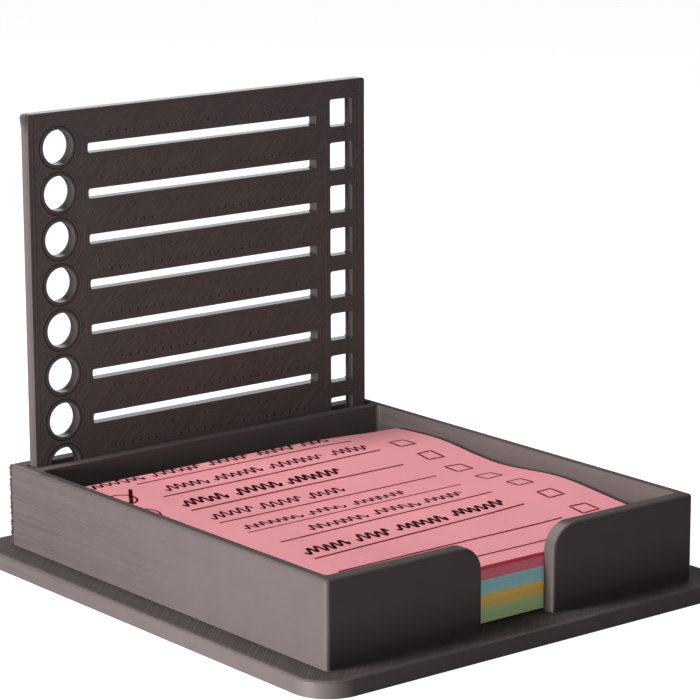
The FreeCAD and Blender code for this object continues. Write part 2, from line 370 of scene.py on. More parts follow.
@dataclass(frozen=True)
class PrintedPlastic:
    """Warm dark grey filament laid down in beads, whose lines show on every face.

    A span says between which two values a smooth step runs: for a turn, of the surface's normal.
    """

    name: str
    dark: Colour = (0.030, 0.0242, 0.0240)
    light: Colour = (0.136, 0.1103, 0.1080)
    contrast: float = 0.3
    haze: float = 0.32
    layer: float = 0.2
    bead: float = 0.55
    unevenness: float = 0.012
    shine: float = 0.02
    line_roughness: float = 0.15
    mottle_size: float = 6.0
    mottle_shade: float = 0.35
    flat_turn: Span = (0.55, 0.85)
    level_turn: Span = (0.9, 0.99)

    def build(self) -> bpy.types.Material:
        """The finish as a material."""
        shader, material = Shader.of_material(self.name)
        height, shade, roughness, gloss = self.pattern(shader)
        share = (0.5 + shade * self.contrast).most(0.0).least(1.0)
        colour = shader.blend(share, self.dark, self.light)
        shader.surface(colour, roughness, shader.relief(height), self.shine, gloss, self.haze)
        return material

    def pattern(self, shader: Shader) -> tuple[Link, Link, Link, Link]:
        """Height in millimetres, lightness about 0, roughness and gloss of the surface."""
        raise NotImplementedError

    def mottle(self, shader: Shader, *place: Link) -> Link:
        """Cloudy lightness, a few millimetres across."""
        cloud = shader.noise(*(part / self.mottle_size for part in place), 3.0) - 0.5
        return cloud * self.mottle_shade


@dataclass(frozen=True)
class TrayPlastic(PrintedPlastic):
    """The tray's finish: it was printed standing, so its layers lie one above the other."""

    wall_half_width: float = 41.1
    wall_half_depth: float = 46.95
    base_half_width: float = 46.5
    base_half_depth: float = 52.35
    base_corner: float = 7.0
    outline_width: float = 1.1
    outline_soft: float = 0.05
    foot_width: float = 2.6
    front_turn: Span = (0.5, 0.9)
    slope_turn: Span = (0.08, 0.25)
    corner_turn: Span = (0.02, 0.25)
    rough_and_shaded_end: Span = (-30.0, 46.0)
    flange_front: Span = (-48.0, -46.0)
    notch_rear: Span = (-44.4, -44.0)
    notch_half: Span = (12.8, 13.2)
    slot_front: Span = (37.0, 39.0)
    flange_top: Span = (1.0, 2.0)
    wall_foot: Span = (2.9, 3.1)
    front_foot: Span = (4.0, 12.0)
    rim_top: Span = (10.0, 11.0)
    wander_size: float = 14.0
    streak_size: float = 30.0
    proud_layer_height: float = 8.27
    proud_layer_half: float = 0.09
    proud_layer_depth: float = 0.03
    proud_layer_shade: float = 0.55
    proud_layer_start: Span = (-14.0, 4.0)
    layer_relief: float = 0.016
    raster_relief: float = 0.02
    stair_relief: float = 0.05
    front_smoothness: float = 0.65
    front_foot_painted_shade: float = 1.1
    front_flange_painted_shadow: float = 0.35
    slot_rim_highlight: float = 1.2
    notch_highlight: float = 1.6
    corner_gloss: float = 1.8
    base_corner_gloss: float = 3.0

    def pattern(self, shader: Shader) -> tuple[Link, Link, Link, Link]:
        """Layers on the walls, rings on the rim, and outlines with a raster on the flange."""
        x, y, z = shader.place()
        sideways, lengthwise, upward = shader.facing()
        flat = abs(upward).rise(*self.flat_turn)
        fronted = abs(lengthwise).rise(*self.front_turn)
        course = z / self.layer
        wander = shader.noise(x / self.wander_size, y / self.wander_size, course.floor() * 3.7) - 0.5
        streak = shader.noise(x / self.streak_size, y / self.streak_size, z * 1.6) - 0.5
        # rough_and_shaded rises towards the rear: there the layer lines grow stronger, and it also sets a
        # painted shade below.
        rough_and_shaded = y.rise(*self.rough_and_shaded_end)
        lines = course.jitter() * (0.25 + 0.45 * rough_and_shaded)
        mark = 1 - (abs(z - self.proud_layer_height) / self.proud_layer_half).least(1.0)
        mark = mark * y.rise(*self.proud_layer_start)
        strength = (1 - fronted * self.front_smoothness) * (0.4 + 1.2 * rough_and_shaded)
        on_wall = z.rise(*self.wall_foot)
        wall_height = course.beads() * self.layer_relief + (lines + wander) * self.unevenness
        wall_height = wall_height * strength - mark * self.proud_layer_depth
        wall_shade = (lines * 0.3 + wander * 0.5 + streak * 0.5) * strength - mark * self.proud_layer_shade
        # Faces that look to the front or rear darken towards the foot of the walls: painted shade where the
        # flange hides light from below.
        wall_shade = wall_shade - fronted * on_wall * z.fall(*self.front_foot) * self.front_foot_painted_shade
        # Faces that look left or right get painted light: darker towards the rear end, and lighter on the
        # base plate's edges.
        wall_shade = wall_shade + (1 - fronted) * ((0.5 - rough_and_shaded) * 0.34 + (1 - on_wall) * 0.25)
        rings = (abs(x) - self.wall_half_width).most(abs(y) - self.wall_half_depth)
        raster = (x - y) * math.sqrt(0.5) / self.bead
        inset = self.base_outline(x, y)
        inner_edge = -self.outline_width
        outlined = inset.rise(inner_edge - self.outline_soft, inner_edge + self.outline_soft)
        raster_beads = raster.beads()
        flange_beads = raster_beads.toward((inset / self.bead).beads(), outlined)
        on_rim = z.rise(*self.rim_top)
        flat_beads = flange_beads.toward((rings / self.bead).beads(), on_rim)
        thread = raster.jitter()
        flat_height = flat_beads * self.raster_relief + thread * self.unevenness
        # Flat faces next to the walls' foot, and inside the walls, are darkened, most in the grooves between
        # beads: painted shade in the crease.
        painted_foot_shade = rings.fall(0.0, self.foot_width) * z.rise(*self.flange_top)
        # The outline band round the flange is lighter: partly smoother perimeter beads, partly a painted
        # highlight where the edge faces the lamps.
        flange_shade = thread * 0.45 + outlined * 0.4 - painted_foot_shade * (1.4 - raster_beads) - 0.25
        # The flange's front strip is darkened: a painted shadow of the walls.
        flange_shade = flange_shade - y.fall(*self.flange_front) * self.front_flange_painted_shadow
        # The rear strip of the rim, by the stencil's slot, is lightened: a painted highlight.
        painted_slot_rim_light = y.rise(*self.slot_front) * self.slot_rim_highlight
        flat_shade = (flat_beads - 0.8) * 0.5 + flange_shade + (painted_slot_rim_light - flange_shade) * on_rim
        slope = abs(upward).rise(*self.slope_turn) * (1 - flat)
        stairs = course.beads() * slope * self.stair_relief
        height = wall_height + stairs + (flat_height - wall_height) * flat
        lines_shade = wall_shade.toward(flat_shade, flat)
        # The finger cut-out's side faces are lightened up to where they turn level: painted light.
        in_notch = abs(x).fall(*self.notch_half) * y.fall(*self.notch_rear) * (1 - fronted)
        painted_notch_light = in_notch * upward.fall(*self.level_turn) * self.notch_highlight
        shade = lines_shade + self.mottle(shader, x, y, z) + painted_notch_light
        roughness = 0.33 + flat * 0.27 + lines_shade * self.line_roughness + wander * 0.1
        corner = abs(sideways) ** 3.0 * abs(lengthwise) * abs(upward).fall(*self.corner_turn)
        gloss = self.base_corner_gloss + (self.corner_gloss - self.base_corner_gloss) * on_wall
        return height, shade, roughness, corner * gloss

    def base_outline(self, x: Link, y: Link) -> Link:
        """How far a point lies outside the base plate's rounded outline, negative inside it."""
        across = abs(x) - (self.base_half_width - self.base_corner)
        along = abs(y) - (self.base_half_depth - self.base_corner)
        corner = (across.most(0.0) ** 2.0 + along.most(0.0) ** 2.0) ** 0.5
        return corner + across.most(along).least(0.0) - self.base_corner


@dataclass(frozen=True)
class StencilPlastic(PrintedPlastic):
    """The stencil's finish: it was printed lying down, so outlines ring its holes and a raster fills it."""

    row_pitch: float = 8.4
    last_row: int = 8
    lowest_row: float = 9.45
    round_place: float = -32.5
    round_radius: float = 3.2
    line_left: float = -26.1
    line_right: float = 26.2
    line_drop: float = 0.8
    line_half_height: float = 0.9
    square_place: float = 32.25
    square_half: float = 2.65
    square_lift: float = 0.2
    left: float = -38.8
    right: float = 38.0
    bottom: float = 3.0
    top: float = 83.1
    outline_bead: float = 0.62
    outline_width: float = 1.24
    outline_soft: float = 0.06
    outline_relief: float = 0.03
    patch_width: float = 9.0
    patch_height: float = 5.0
    patch_level: Span = (0.42, 0.68)
    ring_groove: float = 0.68
    groove_side: Span = (0.06, 0.26)
    groove_share: float = 0.6
    pin_pitch: float = 1.85
    pin_radius: float = 0.3
    pins_above: float = 1.8
    pins_below: float = -3.7
    pit_depth: float = 0.08
    pit_shade: float = 1.7
    edge_stripe: float = 0.74
    edge_relief: float = 0.02
    foot_top: Span = (18.0, 36.0)
    foot_painted_shade: float = 0.5
    mottle_shade: float = 0.5
    roughness: float = 0.42
    ledge_gloss: float = 1.0
    haze: float = 0.1

    def pattern(self, shader: Shader) -> tuple[Link, Link, Link, Link]:
        """Outlines round the holes, a slanting raster between them, and layers on the edges."""
        x, y, z = shader.place()
        _, facing, upward = shader.facing()
        flat = abs(facing).rise(*self.flat_turn)
        row = z - self.lowest_row
        nearest = (row / self.row_pitch + 0.5).floor().most(0.0).least(self.last_row)
        drop = row - nearest * self.row_pitch
        ring = ((x - self.round_place) ** 2.0 + abs(drop) ** 2.0) ** 0.5 - self.round_radius
        gap = self.gap_to_edge(x, z, drop, ring)
        raster = (x - z) * math.sqrt(0.5) / self.bead
        outlined = gap.fall(self.outline_width - self.outline_soft, self.outline_width + self.outline_soft)
        patch = shader.noise(x / self.patch_width, 0.0, z / self.patch_height).rise(*self.patch_level)
        thread = raster.jitter()
        raster_beads = raster.beads()
        outline_beads = (gap / self.outline_bead).beads()
        raster_height = raster_beads * (0.008 + patch * 0.03) + thread * self.unevenness
        outline_height = outline_beads * self.outline_relief
        groove = abs(ring - self.ring_groove).fall(*self.groove_side)
        pits = self.pinholes(shader, x, z, drop).most(groove * self.groove_share)
        flat_height = raster_height.toward(outline_height, outlined) - pits * self.pit_depth
        raster_shade = (raster_beads - 0.75) * (0.2 + patch * 1.5) + thread * 0.35
        outline_shade = (outline_beads - 0.8) * 0.6
        flat_shade = raster_shade.toward(outline_shade, outlined) - pits * self.pit_shade
        course = y / self.layer
        stripe = (y / self.edge_stripe).jitter()
        lines = course.jitter()
        edge_height = course.beads() * self.edge_relief + (lines + stripe) * self.edge_relief
        edge_shade = lines * 0.3 + stripe * 0.7 - 0.1
        height = edge_height.toward(flat_height, flat)
        lines_shade = edge_shade.toward(flat_shade, flat)
        # The stencil darkens towards its foot, where it stands down between the tray's walls: painted shade.
        painted_foot_shade = z.fall(*self.foot_top) * self.foot_painted_shade
        shade = lines_shade + self.mottle(shader, x, y, z) - painted_foot_shade
        ledge = (1 - flat) * upward.rise(*self.level_turn)
        return height, shade, self.roughness + lines_shade * self.line_roughness, ledge * self.ledge_gloss

    def gap_to_edge(self, x: Link, z: Link, drop: Link, ring: Link) -> Link:
        """How far a point of the face lies from the nearest edge.

        Args:
            x: place across the stencil.
            z: place up the stencil.
            drop: height above the middle of the nearest row.
            ring: distance from that row's round hole.

        Returns:
            The distance.
        """
        line_middle = (self.line_left + self.line_right) / 2
        line_half = (self.line_right - self.line_left) / 2
        above_line = abs(drop + self.line_drop) - self.line_half_height
        slot = (abs(x - line_middle) - line_half).most(above_line)
        above_square = abs(drop - self.square_lift) - self.square_half
        square = (abs(x - self.square_place) - self.square_half).most(above_square)
        sides = (x - self.left).least(self.right - x)
        ends = (z - self.bottom).least(self.top - z)
        return ring.least(slot).least(square).least(sides).least(ends)

    def pinholes(self, shader: Shader, x: Link, z: Link, drop: Link) -> Link:
        """Pinholes where the raster turns, over and under each line slot.

        Args:
            shader: writer of the tree.
            x: place across the stencil.
            z: place up the stencil.
            drop: height above the middle of the nearest row.

        Returns:
            1 in a hole and 0 elsewhere.
        """
        along = ((x / self.pin_pitch).fraction() - 0.5) * self.pin_pitch
        away = abs(drop - self.pins_above).least(abs(drop - self.pins_below) + 0.12)
        hole = (abs(along) ** 2.0 + away ** 2.0) ** 0.5
        beside_line = (x - self.line_left).rise(1.0, 5.0) * (self.line_right - x).rise(1.0, 5.0)
        open_ones = shader.noise(x / 11, 0.0, z / 5, 1.0).rise(0.34, 0.5)
        return hole.fall(self.pin_radius * 0.4, self.pin_radius) * beside_line * open_ones


@dataclass(frozen=True)
class NotePaper:
    """Uncoated note paper of one colour, with fine fibres."""

    name: str
    colour: Colour
    edge_colour: Colour
    fibre_depth: float = 0.01
    leaf: float = 0.1
    shine: float = 0.1
    side_painted_shade: float = 0.65

    def build(self) -> bpy.types.Material:
        """The finish as a material."""
        shader, material = Shader.of_material(self.name)
        x, y, z = shader.place()
        sideways, _, _ = shader.facing()
        cloud = shader.noise(x / 9, y / 9, z / 9, 3.0) - 0.5
        fibre = shader.noise(x * 2.2, y * 3.1, z * 2.2, 3.0) - 0.5
        edge = shader.link("ShaderNodeAttribute", {"attribute_name": CUT_EDGE}, {}, "Fac")
        cut = (z / self.leaf).jitter() * edge
        share = 0.5 + cloud * 0.5 + fibre * 0.35 + cut * 0.5
        dark = tuple(part * 0.9 for part in self.colour)
        light = tuple(min(part * 1.1, 0.95) for part in self.colour)
        colour = shader.blend(share.most(0.0).least(1.0), dark, light)
        # Cut edges that face left or right are darker than those facing front and rear: painted shade.
        level = (0.94 + cut * 0.12) * (1 - abs(sideways).rise(0.5, 0.9) * self.side_painted_shade)
        cut_colour = shader.blend(level, (0.0, 0.0, 0.0), self.edge_colour)
        colour = shader.blend(edge, colour, cut_colour)
        relief = shader.relief(fibre * self.fibre_depth + cut * self.fibre_depth)
        shader.surface(colour, 0.82 + fibre * 0.12, relief, self.shine)
        return material


@dataclass(frozen=True)
class PenInk:
    """Felt pen ink, thinner where the stroke runs dry."""

    name: str = "pen_ink"
    dark: Colour = (0.02, 0.005, 0.007)
    light: Colour = (0.085, 0.016, 0.022)

    def build(self) -> bpy.types.Material:
        """The finish as a material."""
        shader, material = Shader.of_material(self.name)
        x, y, z = shader.place()
        flow = shader.noise(x / 2.5, y / 2.5, z / 2.5, 2.0).rise(0.3, 0.75)
        grain = shader.noise(x * 5, y * 5, z * 5, 1.0) - 0.5
        colour = shader.blend(flow, self.dark, self.light)
        shader.surface(colour, 0.8 + flow * 0.15, shader.relief(grain * 0.004), 0.0)
        return material


@dataclass
class SubAssembly:
    """A group of pieces that ride on one body."""

    body: Body
    sharp_deg: float = 35.0
    cut_edge_slope: float = 0.5

    def carry(self, piece: bpy.types.Object) -> None:
        """Makes a piece move with this group's body."""
        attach(piece, self.body.value)

    def publish(
        self,
        name: str,
        shape: bmesh.types.BMesh,
        material: bpy.types.Material,
        slot: Union[Slot, None],
        stands_for: Iterable[str] = (),
    ) -> None:
        """Turns a shape into a finished piece, on which edges that turn by sharp_deg or more stay sharp.

        Args:
            name: the piece's name.
            shape: its mesh, in place, which is used up.
            material: its finish.
            slot: the record's slot for that finish, if it has one; not used.
            stands_for: the nodes that the piece replaces.
        """
        shape.normal_update()
        for face in shape.faces:
            face.smooth = True
        for edge in shape.edges:
            edge.smooth = edge.calc_face_angle(0.0) < math.radians(self.sharp_deg)
        mesh = bpy.data.meshes.new(name)
        shape.to_mesh(mesh)
        shape.free()
        mesh.materials.append(material)
        upright = mesh.attributes.new(CUT_EDGE, "FLOAT", "FACE")
        for face, mark in zip(mesh.polygons, upright.data):
            mark.value = float(abs(face.normal.z) < self.cut_edge_slope)
        piece = bpy.data.objects.new(name, mesh)
        bpy.context.scene.collection.objects.link(piece)
        normals = piece.modifiers.new("normals", "WEIGHTED_NORMAL")
        normals.keep_sharp = True
        self.carry(piece)
        for node in stands_for:
            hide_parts(node)
        LOG.info("%s: %d faces, carried by %s", name, len(mesh.polygons), body_of(piece))


def copy_of_node(node: str) -> bmesh.types.BMesh:
    """A merged copy of a node's mesh, with its flat faces whole.

    Args:
        node: the node's name.

    Returns:
        The copy.
    """
    shape = bmesh.new()
    shape.from_mesh(frame["nodes"][node].data)
    bmesh.ops.remove_doubles(shape, verts=shape.verts[:], dist=WELD * MM)
    bmesh.ops.dissolve_limit(
        shape,
        angle_limit=math.radians(FLAT_DEG),
        use_dissolve_boundaries=False,
        verts=shape.verts[:],
        edges=shape.edges[:],
    )
    return shape


def round_edges(
    shape: bmesh.types.BMesh,
    radius: float,
    segments: int,
    wanted: Callable[[bmesh.types.BMEdge], bool],
) -> None:
    """Rounds the outward edges of a shape that a test picks.

    Args:
        shape: the shape, which is changed.
        radius: how far the rounding reaches, in millimetres.
        segments: its number of facets.
        wanted: says whether an edge is rounded.
    """
    sharp = math.radians(ROUND_OVER_DEG)
    turned = [e for e in shape.edges if e.is_manifold and e.calc_face_angle_signed(0) > sharp]
    edges = [e for e in turned if wanted(e)]
    bmesh.ops.bevel(
        shape,
        geom=edges,
        offset=radius * MM,
        offset_type="OFFSET",
        segments=segments,
        profile=0.5,
        affect="EDGES",
        material=-1,
        clamp_overlap=True,
    )


def add_blob(shape: bmesh.types.BMesh, middle: Vector, half: Vector, turn_deg: float = 0.0) -> None:
    """Adds one small drop of plastic to a shape.

    Args:
        shape: the shape, which is changed.
        middle: the drop's middle, in millimetres.
        half: half its sizes, in millimetres.
        turn_deg: how far it is turned about the vertical.
    """
    matrix = Matrix.Translation(middle * MM) @ Matrix.Rotation(math.radians(turn_deg), 4, "Z")
    matrix = matrix @ Matrix.Diagonal((*(half * MM), 1.0))
    bmesh.ops.create_uvsphere(shape, u_segments=8, v_segments=6, radius=1.0, matrix=matrix)


@dataclass
class PrintedTray(SubAssembly):
    """The tray: base plate, walls, finger cut-out and the slot for the stencil."""

    body: Body = Body.TRAY
    look: TrayPlastic = TrayPlastic("tray_plastic")
    base_top: float = 3.0
    rim: float = 18.3
    edge_round: float = 0.18
    seam_reach: float = 0.3
    seed: int = 11

    def build(self) -> None:
        """Makes and dresses the tray's pieces."""
        plastic = self.look.build()
        shell = copy_of_node("tray")
        round_edges(shell, self.edge_round, 2, self.is_rim_edge)
        self.publish("tray_shell", shell, plastic, Slot.PLASTIC, ["tray"])
        self.publish("tray_seam", self.seam(), plastic, Slot.PLASTIC)

    def is_rim_edge(self, edge: bmesh.types.BMEdge) -> bool:
        """Whether an edge runs along the top of a wall."""
        return all(abs(v.co.z / MM - self.rim) < 0.01 for v in edge.verts)

    def seam(self) -> bmesh.types.BMesh:
        """The ragged seam where every layer of the walls starts, up the rear left corner."""
        chance = random.Random(self.seed)
        shape = bmesh.new()
        layer = self.look.layer
        for number in range(round((self.rim - self.base_top) / layer)):
            height = self.base_top + (number + 0.5) * layer
            reach = self.seam_reach * chance.uniform(0.55, 1.0)
            corner = Vector((-self.look.wall_half_width, self.look.wall_half_depth, height))
            middle = corner + Vector((chance.uniform(0.0, 0.22), chance.uniform(-0.3, -0.05), 0.0))
            half = Vector((reach, chance.uniform(0.3, 0.55), layer * 0.62))
            add_blob(shape, middle, half, chance.uniform(-20, 20))
        return shape


@dataclass
class PrintedStencil(SubAssembly):
    """The stencil that stands in the slot: a plate with rows of round, long and square holes."""

    body: Body = Body.STENCIL
    look: StencilPlastic = StencilPlastic("stencil_plastic")
    edge_round: float = 0.15
    seed: int = 5
    blob_count: int = 44
    flare: float = 0.95
    flare_steps: int = 18

    def build(self) -> None:
        """Makes and dresses the stencil's pieces."""
        plastic = self.look.build()
        plate = copy_of_node("stencil")
        low, high = (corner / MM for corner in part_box("stencil"))
        round_edges(plate, self.edge_round, 2, lambda edge: self.is_face_edge(edge, low.y, high.y))
        self.publish("stencil_plate", plate, plastic, Slot.PLASTIC, ["stencil"])
        self.publish("stencil_blobs", self.blobs(low, high), plastic, Slot.PLASTIC)

    def is_face_edge(self, edge: bmesh.types.BMEdge, front: float, rear: float) -> bool:
        """Whether an edge lies in the plate's front or rear face."""
        depths = [v.co.y / MM for v in edge.verts]
        return any(all(abs(depth - face) < 0.01 for depth in depths) for face in (front, rear))

    def blobs(self, low: Vector, high: Vector) -> bmesh.types.BMesh:
        """Drops left where the print head stopped: beside the holes and at the upper left corner."""
        chance = random.Random(self.seed)
        holes = self.look
        shape = bmesh.new()
        rows = range(1, holes.last_row + 1)
        for _ in range(self.blob_count):
            row = holes.lowest_row + chance.choice(rows) * holes.row_pitch
            by_round = holes.round_place + chance.uniform(-2.5, 5.2)
            by_line = holes.line_left + chance.uniform(-1.0, 9.0)
            x = chance.choice((by_round, by_line))
            z = row + chance.choice((-1, 1)) * chance.uniform(3.5, 4.1)
            size = chance.uniform(0.1, 0.2)
            half = Vector((size * chance.uniform(0.8, 1.6), 0.07, size))
            add_blob(shape, Vector((x, low.y, z)), half)
        for number in range(self.flare_steps):
            height = high.z - 0.3 - number * 0.25
            swell = self.flare * min(1.0, 0.7 + 0.15 * number) * (1 - number / self.flare_steps) ** 1.2
            half = Vector((swell, 1.05, 0.28))
            add_blob(shape, Vector((low.x + 0.02, (low.y + high.y) / 2, height)), half)
        return shape


@dataclass
class NotePad(SubAssembly):
    """The pad: a backing sheet and four colours of notes, leaf upon leaf."""

    body: Body = Body.NOTE_PAD
    leaf: float = 0.1
    glue: float = 0.028
    paper: float = 0.097
    leaves_per_colour: int = 25
    leaves_left_on_top: int = 22
    stray: float = 0.1
    shadow_edged_leaves: int = 5
    backing_setback: float = 1.2
    full_colours: int = 3
    faces_across: int = 6
    faces_along: int = 40
    pink_edge: Colour = (1.0, 0.25, 0.325)
    seed: int = 3

    def build(self, top: "TopNote") -> None:
        """Makes and dresses the pad's pieces.

        Args:
            top: the uppermost note, whose waves the pink leaves take on.
        """
        low, high = (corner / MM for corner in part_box("pad_backing"))
        chance = random.Random(self.seed)
        card = NotePaper("backing_paper", (0.62, 0.6, 0.55), (0.55, 0.53, 0.48)).build()
        backing = bmesh.new()
        self.add_leaf(backing, low + Vector((0.0, self.backing_setback, 0.0)), high, 0.0, high.z - low.z)
        self.publish("pad_backing_sheet", backing, card, Slot.BACKING, ["pad_backing"])
        colours = (
            ("green", Slot.GREEN, (0.5, 0.66, 0.32), (0.62, 0.8, 0.41)),
            ("yellow", Slot.YELLOW, (0.9, 0.63, 0.2), (1.0, 0.72, 0.21)),
            ("blue", Slot.BLUE, (0.43, 0.66, 0.64), (0.46, 0.8, 0.86)),
        )
        count = 0
        for name, slot, colour, edge_colour in colours:
            stack = bmesh.new()
            for _ in range(self.leaves_per_colour):
                self.lay_leaf(stack, low, high, count, chance)
                count += 1
            finish = NotePaper(slot.value, colour, edge_colour).build()
            self.publish(f"{name}_leaves", stack, finish, slot, [f"{name}_notes"])
        # The uppermost pink leaves take the top note's deep crimson edge: partly the paper's colour, partly
        # a painted shadow under the note's front edge.
        even_ones = self.leaves_left_on_top - self.shadow_edged_leaves
        even_paper = NotePaper("pink_pad_paper", top.colour, self.pink_edge).build()
        pinks = (
            ("pink_leaves", even_paper, range(even_ones), ["pink_notes"]),
            ("pink_shadow_edged_leaves", top.paper, range(even_ones, self.leaves_left_on_top), []),
        )
        for name, finish, numbers, nodes in pinks:
            stack = bmesh.new()
            for number in numbers:
                self.lay_wavy_leaf(stack, top, high.z, number, chance)
            self.publish(name, stack, finish, Slot.PINK, nodes)

    def astray(self, chance: random.Random) -> Vector:
        """How far a leaf lies beside its place, mostly to either side or to the front."""
        return Vector((chance.uniform(-1, 1), chance.uniform(-1, 0.2), 0)) * self.stray

    def lay_leaf(
        self, stack: bmesh.types.BMesh, low: Vector, high: Vector, count: int, chance: random.Random
    ) -> None:
        """Adds the next flat leaf to a stack.

        Args:
            stack: the colour's leaves.
            low: lowest corner of the backing sheet.
            high: its highest corner.
            count: leaves already under this one.
            chance: source of the small strays.
        """
        stray = self.astray(chance)
        lift = Vector((0, 0, high.z - low.z + count * self.leaf))
        self.add_leaf(stack, low + stray + lift, high + stray, count * self.glue, self.paper)

    def add_leaf(
        self, stack: bmesh.types.BMesh, low: Vector, high: Vector, rise: float, thick: float
    ) -> None:
        """Adds one thin leaf.

        Args:
            stack: the shape, which is changed.
            low: its left front corner, at its underside.
            high: a place over its right rear corner.
            rise: how much higher its rear edge lies than its front one.
            thick: its thickness.
        """
        size = Vector((high.x - low.x, high.y - low.y, thick))
        middle = Vector(((low.x + high.x) / 2, (low.y + high.y) / 2, low.z + thick / 2))
        matrix = Matrix.Translation(middle * MM) @ Matrix.Diagonal((*(size * MM), 1.0))
        leaf = bmesh.ops.create_cube(stack, size=1.0, matrix=matrix)
        for vert in leaf["verts"]:
            vert.co.z += rise * MM * (vert.co.y / MM - low.y) / (high.y - low.y)

    def lay_wavy_leaf(
        self, stack: bmesh.types.BMesh, top: "TopNote", backing: float, number: int, chance: random.Random
    ) -> None:
        """Adds a pink leaf that has taken on some of the waves of the note on top.

        Args:
            stack: the pink leaves.
            top: the uppermost note.
            backing: how high the backing sheet's top lies.
            number: leaves of this colour under this one.
            chance: source of the small strays.
        """
        stray = self.astray(chance)
        share = (number + 1) / self.leaves_left_on_top
        under = self.full_colours * self.leaves_per_colour

        def height(x: float, y: float) -> float:
            """How high this leaf's top lies."""
            along = (y - top.low.y) / (top.high.y - top.low.y)
            floor = backing + under * (self.leaf + self.glue * along)
            ceiling = top.height(x, y) - top.thick - top.loose
            return floor + (ceiling - floor) * share

        corners = (top.low + stray, top.high + stray)
        merge_into(stack, paper_grid(*corners, self.faces_across, self.faces_along, height, self.paper))


def paper_grid(
    low: Vector,
    high: Vector,
    across: int,
    along: int,
    height: Callable[[float, float], float],
    thick: float,
) -> bmesh.types.BMesh:
    """A curved sheet of paper.

    Args:
        low: left front corner.
        high: right rear corner.
        across: its number of faces from left to right.
        along: its number of faces from front to rear.
        height: how high its top lies at a place.
        thick: its thickness.

    Returns:
        The sheet, closed all round.
    """
    shape = bmesh.new()
    middle = Vector(((low.x + high.x) / 2, (low.y + high.y) / 2, 0.0))
    half = Vector(((high.x - low.x) / 2, (high.y - low.y) / 2, 1.0))
    matrix = Matrix.Translation(middle * MM) @ Matrix.Diagonal((*(half * MM), 1.0))
    bmesh.ops.create_grid(shape, x_segments=across, y_segments=along, size=1.0, matrix=matrix)
    for vert in shape.verts:
        vert.co.z = height(vert.co.x / MM, vert.co.y / MM) * MM
    upper = shape.faces[:]
    lower = bmesh.ops.extrude_face_region(shape, geom=upper, use_keep_orig=True)
    moved = [item for item in lower["geom"] if isinstance(item, bmesh.types.BMVert)]
    bmesh.ops.translate(shape, verts=moved, vec=(0.0, 0.0, -thick * MM))
    bmesh.ops.recalc_face_normals(shape, faces=shape.faces[:])
    return shape


def merge_into(target: bmesh.types.BMesh, part: bmesh.types.BMesh) -> None:
    """Adds a shape to another and frees it."""
    scratch = bpy.data.meshes.new("scratch")
    part.to_mesh(scratch)
    part.free()
    target.from_mesh(scratch)
    bpy.data.meshes.remove(scratch)


@dataclass
class TopNote(SubAssembly):
    """The uppermost note: a single leaf with a wave in it, glued to the pad along its rear edge."""

    body: Body = Body.TOP_NOTE
    thick: float = 0.1
    loose: float = 0.08
    glued: float = 14.0
    side_lift: float = 0.35
    corner_droop: float = 0.8
    right_start: float = 14.0
    rear_start: float = 14.0
    front_end: Span = (-22.0, 2.0)
    inner: float = 0.05
    faces_across: int = 44
    faces_along: int = 60
    colour: Colour = (0.86, 0.35, 0.385)
    # The deep crimson cut edge is partly the paper's colour and partly painted shadow, since it also edges
    # the pink leaves just under the note.
    edge_colour: Colour = (0.98, 0.07, 0.125)
    low: Vector = field(init=False)
    high: Vector = field(init=False)
    solid: BVHTree = field(init=False)
    paper: bpy.types.Material = field(init=False)

    def __post_init__(self) -> None:
        """Reads the note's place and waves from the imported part, and mixes its paper."""
        self.low, self.high = (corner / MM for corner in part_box("top_note"))
        solid = bmesh.new()
        solid.from_mesh(frame["nodes"]["top_note"].data)
        self.solid = BVHTree.FromBMesh(solid)
        solid.free()
        self.paper = NotePaper(Slot.PINK.value, self.colour, self.edge_colour).build()

    def build(self) -> None:
        """Makes and dresses the note."""
        faces = (self.faces_across, self.faces_along)
        sheet = paper_grid(self.low, self.high, *faces, self.height, self.thick)
        self.publish("top_note_sheet", sheet, self.paper, Slot.PINK, ["top_note"])

    def carry(self, piece: bpy.types.Object) -> None:
        """Keeps a piece on the pad where the note is glued, and lets the rest peel."""
        start = (0.0, self.high.y * MM, self.high.z * MM)
        end = (0.0, (self.high.y - self.glued) * MM, self.high.z * MM)
        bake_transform(piece, Body.NOTE_PAD.value, Body.TOP_NOTE.value, start=start, end=end)

    def height(self, x: float, y: float) -> float:
        """How high the note's upper face lies.

        Args:
            x: place from left to right.
            y: place from front to rear.

        Returns:
            The height, in millimetres.
        """
        across = min(max(x, self.low.x + self.inner), self.high.x - self.inner)
        along = min(max(y, self.low.y + self.inner), self.high.y - self.inner)
        above = Vector((across, along, self.high.z + 10)) * MM
        spot = self.solid.ray_cast(above, Vector((0, 0, -1)))[0]
        side = smooth_step(x, self.right_start, self.high.x)
        front = 1 - smooth_step(y, *self.front_end)
        rear = smooth_step(y, self.rear_start, self.high.y)
        return spot.z / MM + self.side_lift * side * front - self.corner_droop * side * rear


def smooth_step(value: float, low: float, high: float) -> float:
    """A smooth step from 0 at low to 1 at high."""
    share = min(max((value - low) / (high - low), 0.0), 1.0)
    return share * share * (3 - 2 * share)


@dataclass
class Stroke:
    """One stroke of a pen on the note, as places from left to right and front to rear."""

    spots: list[Spot]
    width: float
    curved: bool = False
    closed: bool = False


